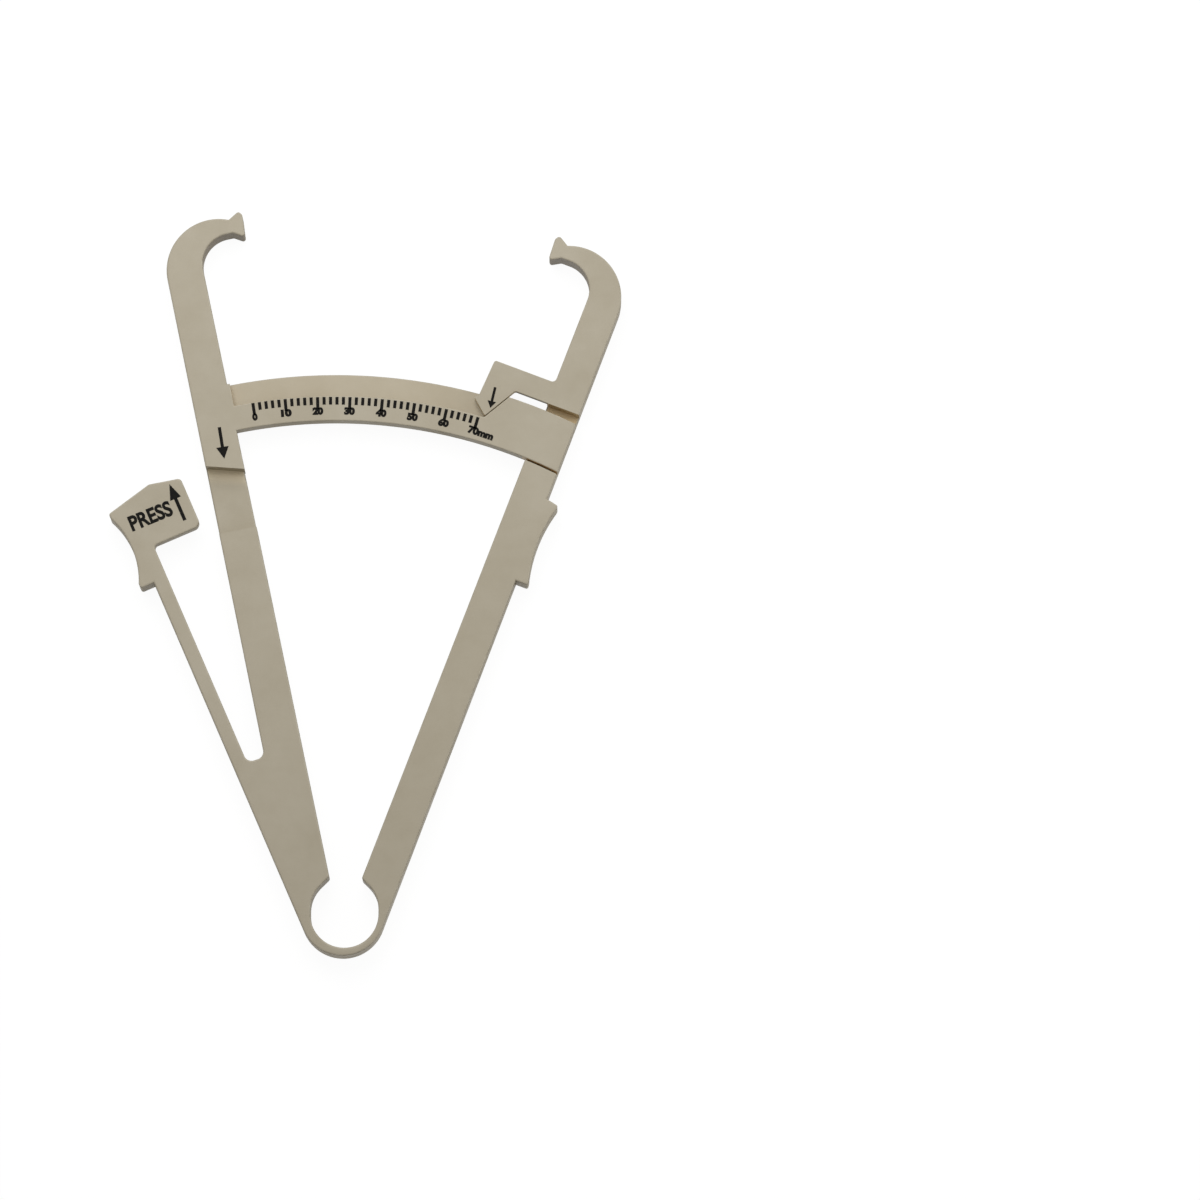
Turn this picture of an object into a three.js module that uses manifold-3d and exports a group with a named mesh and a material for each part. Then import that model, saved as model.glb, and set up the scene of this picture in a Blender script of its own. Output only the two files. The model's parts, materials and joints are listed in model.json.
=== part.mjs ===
// Thumb-press skinfold caliper: two arms on a ring spring, jaws that pinch a fold of skin, an arc scale
// carried by the fixed arm, and a sprung lever that shows when the pinch is hard enough.
//
// The real object is one flat plastic moulding that works by bending. Here it is divided where it
// flexes and where its section changes, so that each member is a solid of its own.
//
// Millimetres and degrees. The caliper lies on its back: X to the right, Y towards the jaws, Z up through
// its thickness. Outlines are drawn about the pivot that the scale is struck from. The finished group is
// moved so that its origin lies under the middle of its outline, on the surface that it rests on.

import * as THREE from 'three';
import { mergeVertices } from 'three/addons/utils/BufferGeometryUtils.js';
import Module from 'manifold-3d';

const wasm = await Module();
wasm.setup();

// Driving dimensions

const PLATE = {
  thickness: 7.5, // arms, jaws, rests and ring
  edgeRound: 0.35, // round along every outer edge
  lap: 1.2, // how far the front parts reach into the plate before they are trimmed to it
  bar_share: 0.6, // the scale bar is this much of the thickness, at the front
  trackDepth: 2.3, // step down from the scale to the track that the pointer slides in
  tab_share: 0.52, // and the press tab this much
  runningGap: 0.3, // between the bar, the pointer and the arm that slide past each other
};

const RING = {
  holeRadius: 7.8,
  holeOffset: 2.4, // centre of the hole, right of the pivot
  holeRise: 1, // the upper half of the hole stands this much higher than a circle
  wall: 1.85, // at the bottom
  wallShift: 0.4, // centre of the outside, left of the hole's, so that the wall is thinnest on the right
  fixedEnd: -90, // the spring's ends, as directions from the middle of the hole
  movingEnd: 90,
  mouthAngle: 45, // where the hole's rim leaves its circle and runs straight into the mouth
  mouthRound: 0.6,
};

// Each arm ends where the back of its jaw begins to bend.
const FIXED_ARM = { angle: -11.7, outer: -8.4, widthAtRing: 9.05, widthAtJaw: 8.5, aboveScale: 26.65 };
const MOVING_ARM = { angle: 20.75, widthAtRing: 8.45, widthAtJaw: 7.85, aboveBracket: 19.95 };

const JAW = {
  outerBend: 12, // radius of the back of the hook
  hookThickness: 4.15, // over the top of its throat
  innerBendShift: 0.85, // the throat's centre lies this much further out than the back's
  backTurn: 109, // degrees that the back turns before the pad flares from it
  throatTurn: 92,
  padStand: 3.85, // from the end of the back's bend to the middle of the pad's face
  padEar: 1.254, // the face ends this far past the bend
  faceLength: 6.3,
  padFlareTop: 0.5, // the upper ear leans back from the face
  padRound: 1,
  padThickness: 3.5, // from the face to where the pad is divided from the hook
};

// The recess in the fixed arm that the press tab moves over
const SEAT = {
  foot: 91.3,
  length: 15.6, // along the arm's outer edge
  slant: 2.4, // how much shorter it is along the inner edge
};

const TAB = { aboveSeatFoot: 3.3, reach: 11.8, topRound: 1, footRound: 1.6, peakRound: 1.2 };

const LEVER = {
  angle: -23.44,
  bladeThickness: 3.3,
  slotFloor: 39.9, // bottom of the slot that frees the blade
  slotRound: 1.8,
  bladeGap: 0.8, // the blade ends this far below the thumb rest
  restBelowTab: 7.9, // from the tab's foot down to the lower step of the thumb rest
  restAboveTab: 10.9, // and up to the tip of its upper horn
  horn: 3.3, // how far the rest's horns stand out of the blade's outer edge
  hornRound: 0.6,
  scoop: 1.8, // depth of the thumb's hollow
  scoopStart: 1.2, // from the tip of each horn
  hipRise: 2.7, // the tab's top edge climbs from the upper horn to a blunt peak
  hipAcross: 11.1,
  shoulderDrop: 1.6,
};

const SCALE = {
  aboveSeat: 7.25, // from the seat to the inner edge of the bar
  gradedWidth: 5.75, // from that edge to the track
  trackWidth: 5.3, // the pointer slides in it
  trackStart: -11.3, // degrees, beside the fixed arm
  endRise: 0.9, // the raised end block stands a little proud
};

const GUIDE = { gapUnderBar: 0.5, gapAboveBar: 2.6 }; // the channel through the moving arm

const FINGER_REST = {
  belowGuide: 6.75,
  length: 20.3,
  horn: 2.85,
  hornRound: 0.45,
  scoop: 1.2,
  scoopStart: 0.9, // from the tip of each horn
  topSlant: 0.6,
};

const POINTER = {
  bracketWidth: 5.1, // above the channel
  reach: 22.75, // from the arm's outer edge to the bracket's free side
  bracketLean: 0.55, // the free side leans out towards the scale
  bracketRound: 0.6,
  bracketRootRound: 1,
  tipShort: 2.4, // the tip lies this far short of the free side
  tipRound: 0.3,
  tipClearance: 0.35, // from the tip to the track's lower wall
  cheekOut: 1.35, // and the widest place of the plate, over the track, this far past it
  cheekRise: 3.2,
  cheekRound: 0.8,
  shoulderShort: 6.95, // where the tip's other flank meets the bracket's underside
  shoulderRound: 0.7,
  stopGap: 0.3, // to the end block, which stops the arms from opening further
  edgeRound: 0.2,
};

const WEB_FOOT = 8; // below it the web is too slim to be told from the arm

const OVERRUN = 30; // how far cutting tools reach past what they cut
const SPAN = 400; // longer than the caliper

// Degrees: between points on round stretches, past the moving arm, and at which a root round leaves the plate
const STEP = { bend: 6, ring: 5, scoop: 3, bar: 1.5, channel: 12, root: 18 };

// Heights

const barBottom = PLATE.thickness - PLATE.thickness * PLATE.bar_share;
const guideTop = barBottom - PLATE.runningGap;
const trackFloor = PLATE.thickness - PLATE.trackDepth;
const pointerBottom = trackFloor + PLATE.runningGap;
const tabBottom = PLATE.thickness - PLATE.thickness * PLATE.tab_share;
const seatFloor = tabBottom - PLATE.runningGap;

// Distances from the pivot, each from the one below it

const seatTop = SEAT.foot + SEAT.length;
const tabFoot = SEAT.foot + TAB.aboveSeatFoot;
const restFoot = tabFoot - LEVER.restBelowTab;
const restTop = tabFoot + LEVER.restAboveTab;
const bladeTop = restFoot - LEVER.bladeGap;

const barInner = seatTop + SCALE.aboveSeat;
const trackInner = barInner + SCALE.gradedWidth;
const barOuter = trackInner + SCALE.trackWidth;
const endOuter = barOuter + SCALE.endRise;

const channelFloor = barInner - GUIDE.gapUnderBar;
const channelTop = barOuter + GUIDE.gapAboveBar;
const bracketTop = channelTop + POINTER.bracketWidth;
const fingerTop = channelFloor - FINGER_REST.belowGuide;
const fingerFoot = fingerTop - FINGER_REST.length;

// Places in the plan

const radians = THREE.MathUtils.degToRad;

// Angles are measured from +Y, positive to the right.
const polar = (radius, degrees, centre = new THREE.Vector2()) =>
  new THREE.Vector2(Math.sin(radians(degrees)), Math.cos(radians(degrees))).multiplyScalar(radius).add(centre);

// A member's own frame: a station along it from the pivot, and an offset across it, positive to the right.
const along = (degrees, station, offset) =>
  polar(station, degrees).add(polar(offset, degrees + 90));

const ringHole = new THREE.Vector2(RING.holeOffset, 0);
const holeHead = new THREE.Vector2(RING.holeOffset, RING.holeRise);
const ringOutside = new THREE.Vector2(RING.holeOffset - RING.wallShift, 0);
const ringRadius = RING.holeRadius + RING.wall;

// The outer edges of the lever and of the moving arm run off the ring's outside as tangents.
const tangentOffset = (degrees, side) =>
  ringOutside.dot(polar(1, degrees + 90)) + side * ringRadius;

const leverOuter = tangentOffset(LEVER.angle, -1);
const leverInner = leverOuter + LEVER.bladeThickness;
const movingOuter = tangentOffset(MOVING_ARM.angle, 1);

// Each arm: depth is measured inwards from its outer edge, and side is +1 where outwards is to the right.
function armFrame(size, outer, reach, side) {
  const at = (station, depth) => along(size.angle, station, outer - side * depth);
  return { ...size, outer, reach, side, at };
}
const fixedArm = armFrame(FIXED_ARM, FIXED_ARM.outer, barOuter + FIXED_ARM.aboveScale, -1);
const movingArm = armFrame(MOVING_ARM, movingOuter, bracketTop + MOVING_ARM.aboveBracket, 1);
const onLever = (station, offset) => along(LEVER.angle, station, offset);

function crossing(a, b, c, d) {
  const ab = b.clone().sub(a);
  const cd = d.clone().sub(c);
  const share = c.clone().sub(a).cross(cd) / ab.cross(cd);
  return a.clone().addScaledVector(ab, share);
}

// Outlines

const corner = (point, round = 0) => ({ point, round });

// Points on a circle, both ends included.
function arc(centre, radius, from, to, step) {
  const count = Math.max(2, Math.ceil(Math.abs(to - from) / step));
  return Array.from({ length: count + 1 }, (_, i) =>
    corner(polar(radius, THREE.MathUtils.lerp(from, to, i / count), centre)));
}

// The shallow arc through two points that bulges by depth to the left of the way from one to the other.
function shallowArc(from, to, depth, step) {
  const half = to.clone().sub(from).multiplyScalar(0.5);
  const radius = (half.lengthSq() + depth * depth) / (2 * depth);
  const left = new THREE.Vector2(-half.y, half.x).normalize();
  const centre = from.clone().add(half).addScaledVector(left, depth - radius);
  const sweep = THREE.MathUtils.radToDeg(Math.asin(half.length() / radius));
  const middle = THREE.MathUtils.radToDeg(Math.atan2(left.x, left.y));
  return arc(centre, radius, middle - sweep, middle + sweep, step);
}

// The hollow round by which a front part's upper edge leaves the plate's edge. It starts within the plate.
function rootRound(place, station, across, radius) {
  const count = Math.ceil((90 - STEP.root) / (2 * STEP.bend));
  const at = (angle) => place(station + radius * (1 - Math.sin(angle)), across + radius * (1 - Math.cos(angle)));
  const turn = Array.from({ length: count + 1 }, (_, i) =>
    at(radians(THREE.MathUtils.lerp(STEP.root, 90, i / count))));
  const within = crossing(turn[0], turn[1], place(0, across - PLATE.lap), place(station, across - PLATE.lap));
  return [within, ...turn].map((point) => corner(point));
}

// Rounds each corner that asks for it, and returns the closed outline as a shape.
function outline(corners) {
  const points = [];
  corners.forEach(({ point, round }, i) => {
    const before = corners.at(i - 1).point.clone().sub(point);
    const after = corners[(i + 1) % corners.length].point.clone().sub(point);
    const opening = Math.abs(before.angle() - after.angle());
    const half = (opening > Math.PI ? 2 * Math.PI - opening : opening) / 2;
    if (round === 0) {
      points.push(point);
      return;
    }
    const trim = Math.min(round / Math.tan(half), before.length() / 2, after.length() / 2);
    const radius = trim * Math.tan(half);
    const middle = before.clone().normalize().add(after.clone().normalize()).normalize();
    const centre = point.clone().addScaledVector(middle, radius / Math.sin(half));
    const start = point.clone().addScaledVector(before.normalize(), trim).sub(centre);
    const end = point.clone().addScaledVector(after.normalize(), trim).sub(centre);
    const turn = Math.atan2(start.cross(end), start.dot(end));
    const count = Math.max(2, Math.ceil(THREE.MathUtils.radToDeg(Math.abs(turn)) / (3 * STEP.bend)));
    for (let k = 0; k <= count; k += 1) {
      points.push(start.clone().rotateAround(new THREE.Vector2(), (turn * k) / count).add(centre));
    }
  });
  return new THREE.Shape(points);
}

// Solids

function solidFrom(geometry) {
  geometry.deleteAttribute('normal');
  geometry.deleteAttribute('uv');
  const merged = mergeVertices(geometry);
  return new wasm.Manifold(new wasm.Mesh({
    numProp: 3,
    vertProperties: merged.attributes.position.array,
    triVerts: new Uint32Array(merged.index.array),
  }));
}

// A moulded piece: its outline from one height to another, with rounded edges.
function moulded(shape, bottom, top, round = PLATE.edgeRound) {
  const geometry = new THREE.ExtrudeGeometry(shape, {
    depth: top - bottom - 2 * round,
    bevelThickness: round,
    bevelSize: round,
    bevelOffset: -round,
    bevelSegments: 2,
  });
  return solidFrom(geometry.translate(0, 0, bottom + round));
}

// A tool for cutting and dividing: straight sides, and past the whole thickness unless told where to start.
function tool(points, bottom = -OVERRUN) {
  const shape = new THREE.Shape(points);
  const depth = PLATE.thickness + OVERRUN - bottom;
  return solidFrom(new THREE.ExtrudeGeometry(shape, { depth, bevelEnabled: false }).translate(0, 0, bottom));
}

// The full-thickness outline: jaw, arm, ring, arm, jaw, and back by the rests, lever and slot

const throatBend = JAW.outerBend - JAW.hookThickness - JAW.innerBendShift;
const padDepth = JAW.outerBend * (1 - Math.cos(radians(JAW.backTurn))) + JAW.padStand;
const padTop = JAW.outerBend * Math.sin(radians(JAW.backTurn)) + JAW.padEar;
const padFoot = padTop - JAW.faceLength;

// A jaw, from the outer edge of its arm round to the inner edge.
function jaw(arm) {
  const place = (station, depth) => arm.at(arm.reach + station, depth);
  const bend = (centreStation, centreDepth, radius, turn) => {
    const count = Math.ceil(turn / STEP.bend);
    return Array.from({ length: count + 1 }, (_, i) => {
      const angle = radians((turn * i) / count);
      return corner(place(centreStation + radius * Math.sin(angle), centreDepth - radius * Math.cos(angle)));
    });
  };
  // Both faces lie on lines from the pivot, so that they meet flat.
  const middle = place((padTop + padFoot) / 2, padDepth);
  const faceAt = (station) => crossing(new THREE.Vector2(), middle, place(station, 0), place(station, padDepth));
  const lean = faceAt(padTop).sub(place(padTop, 0)).setLength(JAW.padFlareTop);
  return [
    ...bend(0, JAW.outerBend, JAW.outerBend, JAW.backTurn),
    corner(faceAt(padTop).sub(lean), JAW.padRound),
    corner(faceAt(padTop - JAW.padRound), JAW.padRound),
    corner(faceAt(padFoot), JAW.padRound),
    ...bend(JAW.innerBendShift, arm.widthAtJaw + throatBend, throatBend, JAW.throatTurn).reverse(),
  ];
}

// Where an arm's inner edge meets the mouth of the ring's hole.
function mouth(arm, side) {
  const leaves = polar(RING.holeRadius, side * RING.mouthAngle, holeHead);
  const onwards = polar(RING.holeRadius, side * (RING.mouthAngle - 90)).add(leaves);
  return crossing(leaves, onwards, arm.at(0, arm.widthAtRing), arm.at(RING.holeRadius, arm.widthAtRing));
}

// How deep the moving arm is where something joins its inner edge
function movingWidthAt(station) {
  const throat = movingArm.at(movingArm.reach + JAW.innerBendShift, movingArm.widthAtJaw);
  const outer = movingArm.at(station, 0);
  return crossing(mouth(movingArm, 1), throat, outer, movingArm.at(station, throat.length())).distanceTo(outer);
}

// The slot between blade and fixed arm: both sides end at the same distance from where their lines meet.
const slotApex = crossing(
  onLever(0, leverInner), onLever(LEVER.slotFloor, leverInner),
  fixedArm.at(0, 0), fixedArm.at(LEVER.slotFloor, 0));
const slotLever = onLever(LEVER.slotFloor, leverInner);
const slotArm = polar(slotLever.distanceTo(slotApex), fixedArm.angle).add(slotApex);

const hornOffset = leverOuter - LEVER.horn;
const hornTop = onLever(restTop, hornOffset);
const hornFoot = onLever(restFoot, hornOffset);
const tabPeak = onLever(restTop + LEVER.hipRise, hornOffset + LEVER.hipAcross);
const restCorner = crossing(hornTop, tabPeak, onLever(0, leverInner), onLever(restTop, leverInner));

const fingerHorn = (station) => movingArm.at(station, -FINGER_REST.horn);

const plateOutline = outline([
  ...jaw(fixedArm),
  corner(mouth(fixedArm, -1), RING.mouthRound),
  ...arc(holeHead, RING.holeRadius, -RING.mouthAngle, -90, STEP.ring),
  ...arc(ringHole, RING.holeRadius, -90, -270, STEP.ring),
  ...arc(holeHead, RING.holeRadius, -270, RING.mouthAngle - 360, STEP.ring),
  corner(mouth(movingArm, 1), RING.mouthRound),
  ...jaw(movingArm).reverse(),
  corner(movingArm.at(fingerTop, 0)),
  corner(fingerHorn(fingerTop - FINGER_REST.topSlant), FINGER_REST.hornRound),
  ...shallowArc(
    fingerHorn(fingerTop - FINGER_REST.topSlant - FINGER_REST.scoopStart),
    fingerHorn(fingerFoot + FINGER_REST.scoopStart),
    -FINGER_REST.scoop, STEP.scoop),
  corner(fingerHorn(fingerFoot), FINGER_REST.hornRound),
  corner(movingArm.at(fingerFoot, 0)),
  ...arc(ringOutside, ringRadius, MOVING_ARM.angle + 90, 270 + LEVER.angle, STEP.ring),
  corner(onLever(restFoot, leverOuter)),
  corner(hornFoot, LEVER.hornRound),
  ...shallowArc(
    onLever(restFoot + LEVER.scoopStart, hornOffset), onLever(restTop - LEVER.scoopStart, hornOffset),
    -LEVER.scoop, STEP.scoop),
  corner(hornTop, LEVER.hornRound),
  corner(restCorner),
  corner(slotLever, LEVER.slotRound),
  corner(slotArm, LEVER.slotRound),
]);

// Places on the pointer, and the line on which it comes to rest against the end of the scale

const tipStation = Math.sqrt(
  (trackInner + POINTER.tipClearance) ** 2 - (movingArm.outer - (POINTER.reach - POINTER.tipShort)) ** 2);
const pointerTip = movingArm.at(tipStation, POINTER.reach - POINTER.tipShort);
const pointerShoulder = movingArm.at(channelTop, POINTER.reach - POINTER.shoulderShort);

// Where the line from one point towards another leaves a circle about the pivot.
function leavesCircle(from, towards, radius) {
  const way = towards.clone().sub(from).normalize();
  const middle = from.clone().addScaledVector(way, -from.dot(way));
  return middle.clone().addScaledVector(way, Math.sqrt(radius * radius - middle.lengthSq()));
}

const flank = pointerShoulder.clone().sub(pointerTip).normalize();
const stopShift = new THREE.Vector2(flank.y, -flank.x).multiplyScalar(POINTER.stopGap);
const stopAt = (radius) =>
  leavesCircle(pointerTip.clone().add(stopShift), pointerShoulder.clone().add(stopShift), radius);
const degreesOf = (point) => THREE.MathUtils.radToDeg(Math.atan2(point.x, point.y));

// Dividing the plate

const leftOf = (from, to) => {
  const run = to.clone().sub(from).setLength(SPAN);
  const side = new THREE.Vector2(-run.y, run.x);
  const start = from.clone().sub(run);
  const end = from.clone().add(run);
  return tool([start, end, end.clone().add(side), start.clone().add(side)]);
};
const beyond = (degrees, station) => leftOf(along(degrees, station, 0), along(degrees, station, OVERRUN));
const divide = (solid, region) => [solid.intersect(region), solid.subtract(region)];

const plate = moulded(plateOutline, 0, PLATE.thickness);

const [ringSpring, arms] = divide(plate, tool([
  ringHole,
  polar(OVERRUN, RING.fixedEnd, ringHole),
  polar(2 * OVERRUN, RING.fixedEnd - 45, ringHole),
  polar(2 * OVERRUN, RING.movingEnd + 45, ringHole),
  polar(OVERRUN, RING.movingEnd, ringHole),
]));
const [fixedPlate, movingPlate] = divide(arms,
  leftOf(ringHole, polar(OVERRUN, (FIXED_ARM.angle + MOVING_ARM.angle) / 2, ringHole)));

// Lever and web lie outside the fixed arm. Above its floor, the slot keeps them apart.
const slotHead = LEVER.slotFloor + LEVER.slotRound + LEVER.bladeThickness;
const [leverPlate, fixedStrip] = divide(fixedPlate, tool([
  fixedArm.at(WEB_FOOT, 0),
  fixedArm.at(slotHead, 0),
  fixedArm.at(slotHead, -LEVER.slotRound / 2),
  fixedArm.at(restTop + OVERRUN, -LEVER.slotRound / 2),
  onLever(restTop + OVERRUN, -2 * OVERRUN),
  onLever(0, -2 * OVERRUN),
  fixedArm.at(WEB_FOOT, -OVERRUN),
]));
const [leverHead, leverWeb] = divide(leverPlate, beyond(LEVER.angle, LEVER.slotFloor + LEVER.slotRound));
const [thumbRest, leverBlade] = divide(leverHead, beyond(LEVER.angle, bladeTop));

const [fixedAboveFoot, fixedArmLower] = divide(fixedStrip, beyond(FIXED_ARM.angle, SEAT.foot));
const [fixedAboveSeat, seatBlock] = divide(fixedAboveFoot,
  leftOf(fixedArm.at(seatTop, 0), fixedArm.at(seatTop - SEAT.slant, fixedArm.widthAtJaw)));
const everywhere = [
  new THREE.Vector2(-SPAN, -SPAN),
  new THREE.Vector2(SPAN, -SPAN),
  new THREE.Vector2(SPAN, SPAN),
  new THREE.Vector2(-SPAN, SPAN),
];
const pressSeat = seatBlock.subtract(tool(everywhere, seatFloor));

function divideJaw(arm, solid) {
  const [whole, rest] = divide(solid, beyond(arm.angle, arm.reach));
  const padRoot = padDepth - JAW.padThickness;
  const edge = [arm.at(0, padRoot), arm.at(arm.reach, padRoot)];
  const [pad, hook] = divide(whole, arm.side > 0 ? leftOf(...edge) : leftOf(...edge.reverse()));
  return [pad, hook, rest];
}
const [fixedJawPad, fixedJaw, fixedArmUpper] = divideJaw(fixedArm, fixedAboveSeat);

// The moving arm is cut away at the front where the scale bar slides across it.
const channel = tool([
  ...arc(new THREE.Vector2(), channelFloor, MOVING_ARM.angle + STEP.channel, MOVING_ARM.angle, STEP.bar)
    .map(({ point }) => point),
  movingArm.at(channelTop, movingArm.widthAtRing + OVERRUN / 2),
  movingArm.at(channelTop, -OVERRUN / 2),
].reverse());
const [fingerRest, movingStrip] = divide(movingPlate, tool([
  movingArm.at(fingerFoot, 0),
  movingArm.at(fingerFoot, -OVERRUN),
  movingArm.at(fingerTop, -OVERRUN),
  movingArm.at(fingerTop, 0),
]));
const [guideBlock, movingRest] = divide(movingStrip, channel);
const barGuide = guideBlock.subtract(tool(everywhere, guideTop));
const [movingAbove, movingArmLower] = divide(movingRest,
  beyond(MOVING_ARM.angle, (channelFloor + channelTop) / 2));
const [movingJawPad, movingJaw, movingArmUpper] = divideJaw(movingArm, movingAbove);

// The parts that take up only the front of the thickness

const barRoot = degreesOf(fixedArm.at(barOuter, fixedArm.widthAtJaw - PLATE.lap));
const barEndAt = (radius) => leavesCircle(movingArm.at(0, 0), movingArm.at(OVERRUN, 0), radius);
const barOutline = outline([
  ...arc(new THREE.Vector2(), barInner, degreesOf(barEndAt(barInner)), barRoot, STEP.bar),
  ...arc(new THREE.Vector2(), barOuter, barRoot, degreesOf(stopAt(barOuter)), STEP.bar),
  ...arc(new THREE.Vector2(), endOuter,
    degreesOf(stopAt(endOuter)), degreesOf(barEndAt(endOuter)), STEP.bar),
]);
const track = tool([
  ...arc(new THREE.Vector2(), trackInner, degreesOf(stopAt(trackInner)), SCALE.trackStart, STEP.bar)
    .map(({ point }) => point),
  polar(endOuter + PLATE.thickness, SCALE.trackStart),
  stopAt(endOuter + PLATE.thickness),
].reverse(), trackFloor);
const bar = moulded(barOutline, barBottom, PLATE.thickness).subtract(track).subtract(plate.subtract(movingPlate));
const trackEnd = stopAt(trackInner);
const [scaleEndStop, scaleBar] = divide(bar, tool([
  trackEnd,
  stopAt(endOuter + PLATE.thickness),
  movingArm.at(channelTop + OVERRUN, -OVERRUN),
  movingArm.at(barInner - OVERRUN, -OVERRUN),
  trackEnd.clone().setLength(barInner - OVERRUN),
]));

const tabAt = (station, across) => onLever(station, leverInner + across);
const tabShape = outline([
  corner(tabAt(restTop, -PLATE.lap)),
  corner(tabAt(tabFoot, -PLATE.lap)),
  corner(tabAt(tabFoot, TAB.reach), TAB.footRound),
  corner(tabAt(restTop + LEVER.hipRise - LEVER.shoulderDrop, TAB.reach), TAB.topRound),
  corner(tabPeak, TAB.peakRound),
  corner(restCorner),
  corner(hornTop.clone().sub(tabPeak).setLength(PLATE.lap)
    .rotateAround(new THREE.Vector2(), radians(STEP.root)).add(restCorner)),
]);
const pressTab = moulded(tabShape, tabBottom, PLATE.thickness).subtract(plate);

const bracketShape = outline([
  corner(movingArm.at(channelTop, movingArm.widthAtJaw - PLATE.lap)),
  ...rootRound(movingArm.at, bracketTop, movingWidthAt(bracketTop), POINTER.bracketRootRound),
  corner(movingArm.at(bracketTop, POINTER.reach), POINTER.bracketRound),
  corner(movingArm.at(tipStation + POINTER.cheekRise + POINTER.cheekRound, POINTER.reach + POINTER.bracketLean),
    POINTER.cheekRound),
  corner(movingArm.at(tipStation + POINTER.cheekRise, POINTER.reach + POINTER.cheekOut), POINTER.tipRound),
  corner(pointerTip, POINTER.tipRound),
  corner(pointerShoulder, POINTER.shoulderRound),
]);
const pointer = moulded(bracketShape, pointerBottom, PLATE.thickness, POINTER.edgeRound).subtract(movingPlate);
const [pointerBracket, pointerPlate] = divide(pointer, beyond(MOVING_ARM.angle, channelTop));

// Material and nodes

const ivory = () => new THREE.MeshStandardMaterial({ color: 0xb3ab94, roughness: 0.55, metalness: 0 });

// A cut along an existing face can leave crumbs thinner than rounding beside the piece itself.
const withoutCrumbs = (solid) => solid.decompose().reduce((a, b) => (b.volume() > a.volume() ? b : a));

function node(name, solid) {
  const { vertProperties, triVerts } = withoutCrumbs(solid).getMesh();
  const geometry = new THREE.BufferGeometry();
  geometry.setAttribute('position', new THREE.BufferAttribute(new Float32Array(vertProperties), 3));
  geometry.setIndex(new THREE.BufferAttribute(new Uint32Array(triVerts), 1));
  geometry.computeVertexNormals();
  const mesh = new THREE.Mesh(geometry, ivory());
  mesh.name = name;
  return mesh;
}

const caliper = new THREE.Group();
caliper.name = 'skinfold_caliper';
caliper.add(
  node('fixed_arm_lower', fixedArmLower),
  node('lever_web', leverWeb),
  node('press_seat', pressSeat),
  node('fixed_arm_upper', fixedArmUpper),
  node('fixed_jaw', fixedJaw),
  node('fixed_jaw_pad', fixedJawPad),
  node('scale_bar', scaleBar),
  node('scale_end_stop', scaleEndStop),
  node('ring_spring', ringSpring),
  node('moving_arm_lower', movingArmLower),
  node('finger_rest', fingerRest),
  node('bar_guide', barGuide),
  node('moving_arm_upper', movingArmUpper),
  node('moving_jaw', movingJaw),
  node('moving_jaw_pad', movingJawPad),
  node('pointer_bracket', pointerBracket),
  node('pointer_plate', pointerPlate),
  node('lever_blade', leverBlade),
  node('thumb_rest', thumbRest),
  node('press_tab', pressTab),
);

const box = new THREE.Box3().setFromObject(caliper);
const centre = box.getCenter(new THREE.Vector3());
caliper.children.forEach((mesh) => mesh.geometry.translate(-centre.x, -centre.y, -box.min.z));

export default caliper;
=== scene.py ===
"""A thumb-press skinfold caliper, lying open on a white table.

One flat moulding of ivory-grey plastic: two arms on a ring spring, hooked jaws that pinch a fold of
skin, an arc scale, and a sprung lever whose tab shows when the pinch is hard enough.
Plans are drawn in millimetres and degrees about the pivot that the scale is struck from.
Angles run clockwise from the +Y direction. Meshes are in metres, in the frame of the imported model.
"""
import json
import math

import bmesh
import bpy
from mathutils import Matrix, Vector


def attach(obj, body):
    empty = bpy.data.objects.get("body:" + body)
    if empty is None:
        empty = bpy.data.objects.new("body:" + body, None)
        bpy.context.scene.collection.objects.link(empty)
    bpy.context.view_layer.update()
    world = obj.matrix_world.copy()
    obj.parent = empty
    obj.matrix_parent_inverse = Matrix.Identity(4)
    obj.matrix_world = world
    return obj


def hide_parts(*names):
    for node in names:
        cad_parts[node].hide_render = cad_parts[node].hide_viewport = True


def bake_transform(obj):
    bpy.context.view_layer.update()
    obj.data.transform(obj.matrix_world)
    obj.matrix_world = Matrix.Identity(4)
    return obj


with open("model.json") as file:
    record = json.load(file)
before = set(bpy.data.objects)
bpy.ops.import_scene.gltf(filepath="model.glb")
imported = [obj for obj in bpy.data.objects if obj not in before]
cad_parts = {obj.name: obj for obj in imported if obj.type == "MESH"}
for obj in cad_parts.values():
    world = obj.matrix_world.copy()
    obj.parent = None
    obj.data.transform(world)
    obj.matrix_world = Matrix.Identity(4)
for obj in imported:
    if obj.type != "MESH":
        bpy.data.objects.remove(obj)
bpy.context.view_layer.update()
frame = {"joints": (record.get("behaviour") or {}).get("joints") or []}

# The left half of the moulding: arm, hooked jaw, and the web, slim blade and thumb rest on its outer side.
# Injection-moulded ABS, full thickness, with every outer edge broken by a small round.
# It is moulded as one outline, and divided below where it bends and where its section changes.

MM = 0.001
THICKNESS = 7.5
EDGE_ROUND = 0.42
FINE_STEP = 2.5
CORNER_STEP = 3 * FINE_STEP
FEWEST_STEPS = 3
FAR = 60.0
SAME_PLACE = 1e-4
ORIGIN = Vector((0, 0))

pivot = Vector(next(j["pos_m"] for j in frame["joints"] if j["name"] == "jaw_close")[:2]) / MM

LEFT_ANGLE = -11.7
LEFT_OUTER = -8.4
LEFT_WIDTH_AT_RING = 9.05
LEFT_WIDTH_AT_JAW = 8.5
LEFT_REACH = 151.85

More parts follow.
